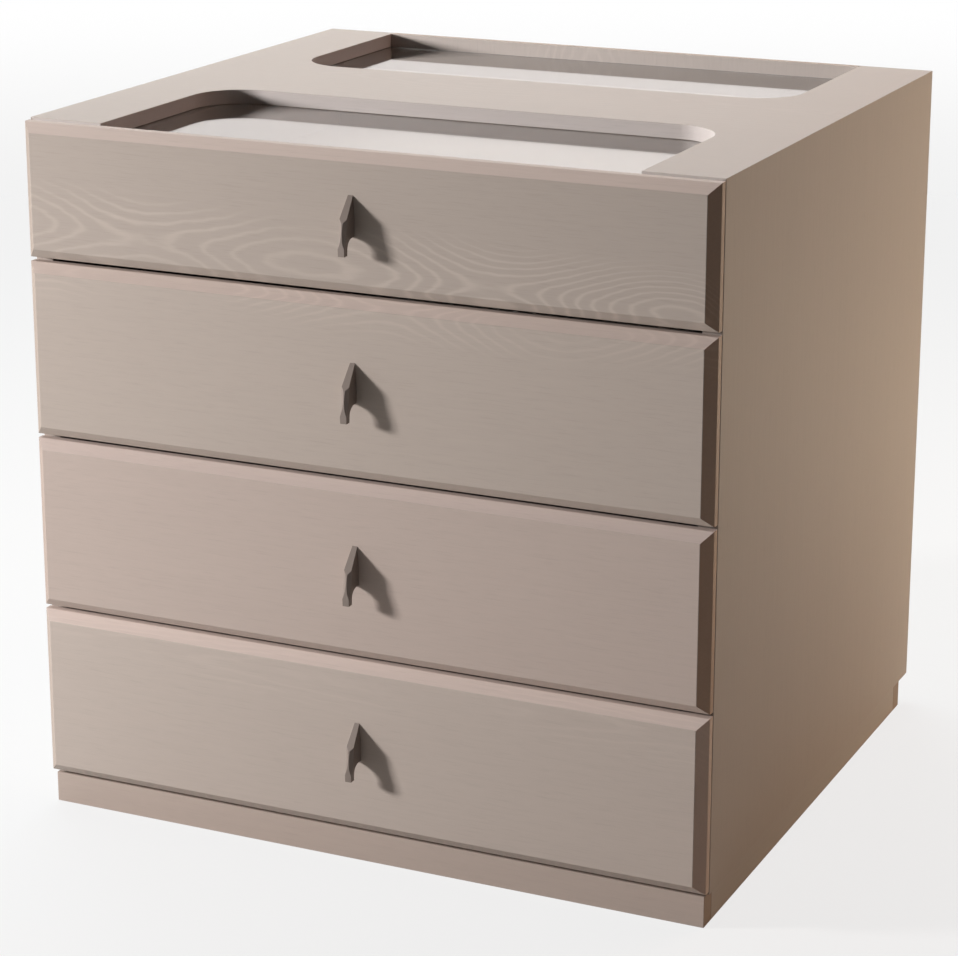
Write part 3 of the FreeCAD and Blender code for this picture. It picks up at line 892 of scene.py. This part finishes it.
@dataclass
class Case:
    """The case, its plinth and its two panes."""

    ease: float = 0.0007
    mitre_reach: float = 0.0012
    mitre_foot: float = 0.002

    def off_mitre(self, edge: bmesh.types.BMEdge) -> bool:
        """Tell whether an edge is clear of the mitred corners, which are glued and whole.

        Args:
            edge: The edge.

        Returns:
            Whether it is clear of them.
        """
        middle = (edge.verts[0].co + edge.verts[1].co) / 2
        low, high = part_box("side_right")
        under_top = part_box("top_panel")[0].z - self.mitre_foot
        outer = abs(middle.x) > high.x - self.mitre_reach
        inner = abs(abs(middle.x) - low.x) < self.mitre_reach
        on_outer = outer and middle.z > high.z - self.mitre_reach
        on_inner = inner and middle.z > under_top
        return not (on_outer or on_inner)

    def build(self) -> None:
        """Dress the case's boards, panes and blocks."""
        boards = {
            "top_panel": (TOP_WOOD, "stained_wood_top"),
            "side_left": (LEFT_WOOD, "stained_wood_side"),
            "side_right": (RIGHT_WOOD, "stained_wood_side"),
            "plinth_front": (PLINTH_WOOD, "stained_wood_plinth"),
            "plinth_back": (PLINTH_WOOD, "stained_wood_plinth"),
            "plinth_left": (PLINTH_SIDE_WOOD, "stained_wood_plinth"),
            "plinth_right": (PLINTH_SIDE_WOOD, "stained_wood_plinth"),
        }
        for node, (finish, slot) in boards.items():
            mesh = eased_copy(node, self.ease, self.off_mitre)
            stand_in(node, f"{node}_board", mesh, finish.build(), "case")
        plain = {"back_panel": BACK_WOOD, "bottom_panel": INNER_WOOD,
                 "plinth_blocks": BLOCK_WOOD}
        for node, finish in plain.items():
            dress(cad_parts[node], finish.build())
        glass = PANE_GLASS.build()
        for node in ("front_glass", "rear_glass"):
            dress(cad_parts[node], glass)
        log.info("case dressed")


# --------------------------------------------------------------------------------------
# A drawer
# --------------------------------------------------------------------------------------


@dataclass(frozen=True)
class DrawerFinishes:
    """The materials that all the drawers share."""

    sides: Material
    ends: Material
    bottom: Material
    paint: Material
    strip: Material
    balls: Material
    screws: Material

    @classmethod
    def build(cls) -> "DrawerFinishes":
        """Build each finish once.

        Returns:
            The materials.
        """
        finishes = (BOX_WOOD, BOX_END_WOOD, BOTTOM_WOOD, PULL_PAINT, RUNNER_STEEL,
                    BALL_STEEL, SCREW_STEEL)
        return cls(*(finish.build() for finish in finishes))


@dataclass
class BallCages:
    """The balls of one drawer's pair of runners, in the strips that keep them apart.

    The outer cages lie along the rear of the middle members and the inner ones along the
    front, where each has both of its members round it however far the drawer is out.
    """

    number: int
    metal: Material
    ball_radius: float = 0.0016
    ball_segments: int = 10
    ball_rings: int = 6
    pitch: float = 0.011
    count: int = 24
    inset: float = 0.0041
    sheet: float = 0.0012
    end_room: float = 0.008
    strip_width: float = 0.006
    strip_thickness: float = 0.0005

    def starts(self) -> list[Point]:
        """Work out where each of the eight rows begins.

        Returns:
            The middle of each row's first ball.
        """
        case, middle, drawer = (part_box(f"drawer{self.number}_{kind}_runners")
                                for kind in ("case", "middle", "drawer"))
        height = (middle[0].z + middle[1].z) / 2
        rear = middle[1].y - self.end_room - (self.count - 1) * self.pitch
        front = middle[0].y + self.end_room
        points = []
        for within, around, y in ((middle, case, rear), (drawer, middle, front)):
            x = within[1].x - self.inset
            half = (within[1].z + around[1].z - self.sheet) / 2 - height
            points += [(side * x, y, height + up * half) for side in (-1, 1) for up in (-1, 1)]
        return points

    def build(self) -> None:
        """Lay a strip and a row of balls from each start."""
        tree = ShapeTree(f"ball_cage_{self.number}")
        count = tree.take("Balls", "Int", self.count)
        pitch = tree.take("Pitch", "Float", self.pitch)
        radius = tree.take("Ball Radius", "Float", self.ball_radius)
        width = tree.take("Strip Width", "Float", self.strip_width)
        thick = tree.take("Strip Thickness", "Float", self.strip_thickness)
        metal = tree.take("Metal", "Material", self.metal)
        feeds = {"Count": count, "Offset": tree.point(Y=pitch)}
        row = tree.add("GeometryNodeMeshLine", feeds).outputs[0]
        rows = tree.real(tree.put(row, tree.start))
        feeds = {"Segments": self.ball_segments, "Rings": self.ball_rings, "Radius": radius}
        ball = tree.add("GeometryNodeMeshUVSphere", feeds).outputs[0]
        smooth = tree.add("GeometryNodeSetShadeSmooth", {"Geometry": ball}).outputs[0]
        balls = tree.put(smooth, rows)
        bar = tree.bar(width, tree.math("MULTIPLY", pitch, count), thick)
        middle = tree.math("MULTIPLY", pitch, tree.math("MULTIPLY_ADD", count, 0.5, -0.5))
        feeds = {"Geometry": bar, "Translation": tree.point(Y=middle)}
        strip = tree.add("GeometryNodeTransform", feeds).outputs[0]
        both = tree.join(tree.put(strip, tree.start), balls)
        name = f"drawer{self.number}_ball_cages"
        mesh = tree.run(name, mesh_of_points(name, self.starts()), both, metal)
        new_piece(name, mesh, self.metal, f"runner{self.number}")


@dataclass
class CrossScrews:
    """The screws of one node, with a cross recess pressed into each head."""

    node: str
    body: str
    metal: Material
    reach: float = 0.0042
    width: float = 0.0009
    depth: float = 0.0013

    def heads(self, form: bmesh.types.BMesh) -> list[Vector]:
        """Find the screws' heads.

        Args:
            form: The screws' form.

        Returns:
            The middle of each screw's outer face, at its rear end.
        """
        seen = set()
        found = []
        for first in form.verts:
            if first in seen:
                continue
            screw, edge_on = {first}, [first]
            while edge_on:
                vertex = edge_on.pop()
                near = {edge.other_vert(vertex) for edge in vertex.link_edges} - screw
                screw |= near
                edge_on += near
            seen |= screw
            (left, right), (_, rear), (low, high) = (
                (min(values), max(values)) for values in zip(*(spot.co for spot in screw)))
            found.append(Vector(((left + right) / 2, rear, (low + high) / 2)))
        return found

    def marked_mesh(self) -> Mesh:
        """Copy the screws and mark their heads.

        Returns:
            The copy, with a lone point at each head's middle.
        """
        mesh, form = merged_copy(self.node)
        for head in self.heads(form):
            form.verts.new(head)
        close_into(form, mesh)
        return mesh

    def build(self) -> None:
        """Cut the recesses and put the screws in the node's place."""
        tree = ShapeTree(f"{self.node}_recesses")
        reach = tree.take("Recess Reach", "Float", self.reach)
        width = tree.take("Recess Width", "Float", self.width)
        depth = tree.take("Recess Depth", "Float", self.depth)
        metal = tree.take("Metal", "Material", self.metal)
        faces = tree.add("GeometryNodeInputMeshVertexNeighbors").outputs["Face Count"]
        lone = tree.math("LESS_THAN", faces, NONE_BELOW)
        both_ways = tree.math("MULTIPLY", depth, 2.0)
        bars = [tree.bar(across, both_ways, up)
                for across, up in ((reach, width), (width, reach))]
        cuts = [tree.real(tree.put(bar, tree.start, lone)) for bar in bars]
        name = f"{self.node}_crossed"
        mesh = tree.run(name, self.marked_mesh(), tree.cut(tree.start, *cuts), metal)
        shade_by_area(mesh)
        stand_in(self.node, name, mesh, self.metal, self.body)


@dataclass
class Drawer:
    """One drawer: its front, box, pull and runners."""

    number: int
    finishes: DrawerFinishes
    front_ease: float = 0.0006
    pull_ease: float = 0.0004
    box_ease: float = 0.0006
    strip_ease: float = 0.0005
    long_edge: float = 0.05
    box_edge: float = 0.02

    @property
    def name(self) -> str:
        """The start of its nodes' names, and its body."""
        return f"drawer{self.number}"

    def build_front(self) -> None:
        """Replace the front with an eased copy in its own board's figure."""
        node = f"{self.name}_front"
        mesh = eased_copy(node, self.front_ease, longer_than(self.long_edge))
        finish = FRONT_WOODS[self.number].build()
        stand_in(node, f"{node}_board", mesh, finish, self.name)

    def build_pull(self) -> None:
        """Replace the pull with a copy whose edges are softened by its paint."""
        node = f"{self.name}_pull"
        mesh = eased_copy(node, self.pull_ease, lambda edge: True, segments=2)
        stand_in(node, f"{self.name}_fin", mesh, self.finishes.paint, self.name)

    def build_box(self) -> None:
        """Replace the box's four boards with eased copies, and dress its bottom."""
        boards = {
            "side_left": self.finishes.sides,
            "side_right": self.finishes.sides,
            "box_front": self.finishes.ends,
            "box_back": self.finishes.ends,
        }
        for part, material in boards.items():
            node = f"{self.name}_{part}"
            mesh = eased_copy(node, self.box_ease, longer_than(self.box_edge))
            stand_in(node, f"{node}_board", mesh, material, self.name)
        dress(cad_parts[f"{self.name}_bottom"], self.finishes.bottom)

    def build_metalwork(self) -> None:
        """Build the screws, the ball cages and the runners' rolled members."""
        for kind in ("pull_screws", "front_screws"):
            CrossScrews(f"{self.name}_{kind}", self.name, self.finishes.screws).build()
        BallCages(self.number, self.finishes.balls).build()
        bodies = {"case": "case", "middle": f"runner{self.number}", "drawer": self.name}
        for kind, body in bodies.items():
            node = f"{self.name}_{kind}_runners"
            mesh = eased_copy(node, self.strip_ease, longer_than(self.long_edge), segments=2)
            stand_in(node, f"{node}_rolled", mesh, self.finishes.strip, body)

    def build(self) -> None:
        """Build the whole drawer."""
        self.build_front()
        self.build_pull()
        self.build_box()
        self.build_metalwork()
        log.info("%s dressed", self.name)


# --------------------------------------------------------------------------------------
# The studio
# --------------------------------------------------------------------------------------


@dataclass(frozen=True)
class SoftBox:
    """A soft light: where it stands, what it faces, its size, power and tint."""

    name: str
    place: Point
    aim: Point
    size: tuple[float, float]
    power: float
    tint: Colour = UNCHANGED

    def build(self) -> None:
        """Put the light in the scene."""
        lamp = bpy.data.lights.new(self.name, "AREA")
        lamp.shape = "RECTANGLE"
        lamp.size, lamp.size_y = self.size
        lamp.energy = self.power
        lamp.color = self.tint
        holder = bpy.data.objects.new(self.name, lamp)
        bpy.context.scene.collection.objects.link(holder)
        holder.location = self.place
        holder.visible_camera = False
        way = Vector(self.aim) - Vector(self.place)
        holder.rotation_euler = way.to_track_quat("-Z", "Y").to_euler()


LIGHTS = (
    SoftBox("key", (-2.95, -1.85, 1.15), (0.0, -0.2, 0.36), (0.42, 0.42), 167.0,
            (0.99, 0.98, 0.985)),
    SoftBox("left_top", (-1.5, 0.1, 1.75), (-0.2, 0.1, 0.68), (0.7, 0.7), 4.5),
    SoftBox("overhead", (-0.9, 1.2, 2.8), (-0.1, 0.1, 0.65), (2.0, 1.4), 60.0,
            (0.8, 0.94, 1.0)),
    SoftBox("overhead_right", (0.9, 0.7, 2.6), (0.0, 0.1, 0.65), (1.2, 1.2), 16.0,
            (1.0, 0.66, 0.52)),
    SoftBox("rear_panel", (-1.9, 4.1, 1.9), (0.0, 0.0, 0.7), (4.2, 2.4), 7.0,
            (1.0, 0.66, 0.5)),
    SoftBox("right_fill", (1.25, 1.9, 0.42), (0.3, 0.1, 0.35), (0.9, 0.7), 11.5,
            (1.0, 0.83, 0.61)),
    SoftBox("right_low", (1.0, 1.0, 0.1), (0.35, 0.15, 0.25), (0.6, 0.16), 3.8,
            (1.0, 0.83, 0.62)),
)


@dataclass
class Studio:
    """The floor, the surroundings, the lights and the camera.

    The floor is clear of all fading out to floor_clear of its radius, and gone at floor_gone.
    """

    floor_radius: float = 6.0
    floor_sides: int = 96
    floor_clear: float = 0.25
    floor_gone: float = 0.95
    floor_tone: Colour = (0.64, 0.63, 0.62)
    floor_glow: float = 0.78
    ambient: float = 0.006
    ambient_tint: Colour = (1.0, 0.74, 0.56)
    lens: float = 109.378
    sensor: float = 36.0
    shift_y: float = -0.0605
    azimuth: float = 24.791
    elevation: float = 16.173
    camera_place: Point = (1.1796, -2.5879, 1.1892)

    def floor_paint(self) -> Material:
        """Build a pale paint that looks lit up by itself and fades out before the edge.

        Returns:
            The material.
        """
        graph = Graph.of_material("pale_floor")
        feeds = {0: graph.place()}
        away = graph.add("ShaderNodeVectorMath", feeds, operation="LENGTH").outputs["Value"]
        gone = graph.ramp(away, self.floor_clear * self.floor_radius,
                          self.floor_gone * self.floor_radius)
        paint = graph.add("ShaderNodeBsdfDiffuse", {"Color": (*self.floor_tone, 1.0)})
        white = graph.add("ShaderNodeEmission", {"Strength": 1.0})
        looked_at = graph.add("ShaderNodeLightPath").outputs["Is Camera Ray"]
        glow = graph.math("MULTIPLY", looked_at, self.floor_glow)
        lit = graph.mix(glow, paint, white)
        return graph.finish(graph.mix(gone, lit, graph.add("ShaderNodeBsdfTransparent")))

    def build_floor(self) -> None:
        """Lay a pale round floor."""
        form = bmesh.new()
        bmesh.ops.create_circle(form, cap_ends=True, segments=self.floor_sides,
                                radius=self.floor_radius)
        mesh = bpy.data.meshes.new("floor")
        close_into(form, mesh)
        floor = bpy.data.objects.new("floor", mesh)
        bpy.context.scene.collection.objects.link(floor)
        dress(floor, self.floor_paint())

    def build_surroundings(self) -> None:
        """Make the surroundings white to look at, and soft and dim as a light.

        Light that has bounced off a matt surface finds them dim, also through the panes.
        """
        graph = Graph.of_world("surroundings")
        path = graph.add("ShaderNodeLightPath").outputs
        seen = graph.math("MAXIMUM", path["Is Camera Ray"], path["Is Glossy Ray"])
        seen = graph.math("MAXIMUM", seen, path["Is Transmission Ray"])
        unbounced = graph.math("LESS_THAN", path["Diffuse Depth"], NONE_BELOW)
        direct = graph.math("MULTIPLY", seen, unbounced)
        feeds = {"Color": (*self.ambient_tint, 1.0), "Strength": self.ambient}
        dim = graph.add("ShaderNodeBackground", feeds)
        white = graph.add("ShaderNodeBackground", {"Color": WHITE, "Strength": 1.0})
        bpy.context.scene.world = graph.finish(graph.mix(direct, dim, white))

    def build_camera(self) -> None:
        """Stand the camera."""
        data = bpy.data.cameras.new("camera")
        data.lens = self.lens
        data.sensor_width = self.sensor
        data.shift_y = self.shift_y
        camera = bpy.data.objects.new("camera", data)
        bpy.context.scene.collection.objects.link(camera)
        camera.location = self.camera_place
        turn = (math.radians(90.0 - self.elevation), 0.0, math.radians(self.azimuth))
        camera.rotation_euler = Euler(turn)
        bpy.context.scene.camera = camera

    def build(self) -> None:
        """Build the whole studio."""
        bpy.context.scene.view_settings.view_transform = "Standard"
        self.build_floor()
        self.build_surroundings()
        for light in LIGHTS:
            light.build()
        self.build_camera()
        log.info("studio built")


def main() -> None:
    """Build the chest's looks, then the studio."""
    logging.basicConfig(level=logging.INFO, format="%(name)s: %(message)s")
    Case().build()
    finishes = DrawerFinishes.build()
    for number in DRAWERS:
        Drawer(number, finishes).build()
    Studio().build()


if __name__ == "__main__":
    main()
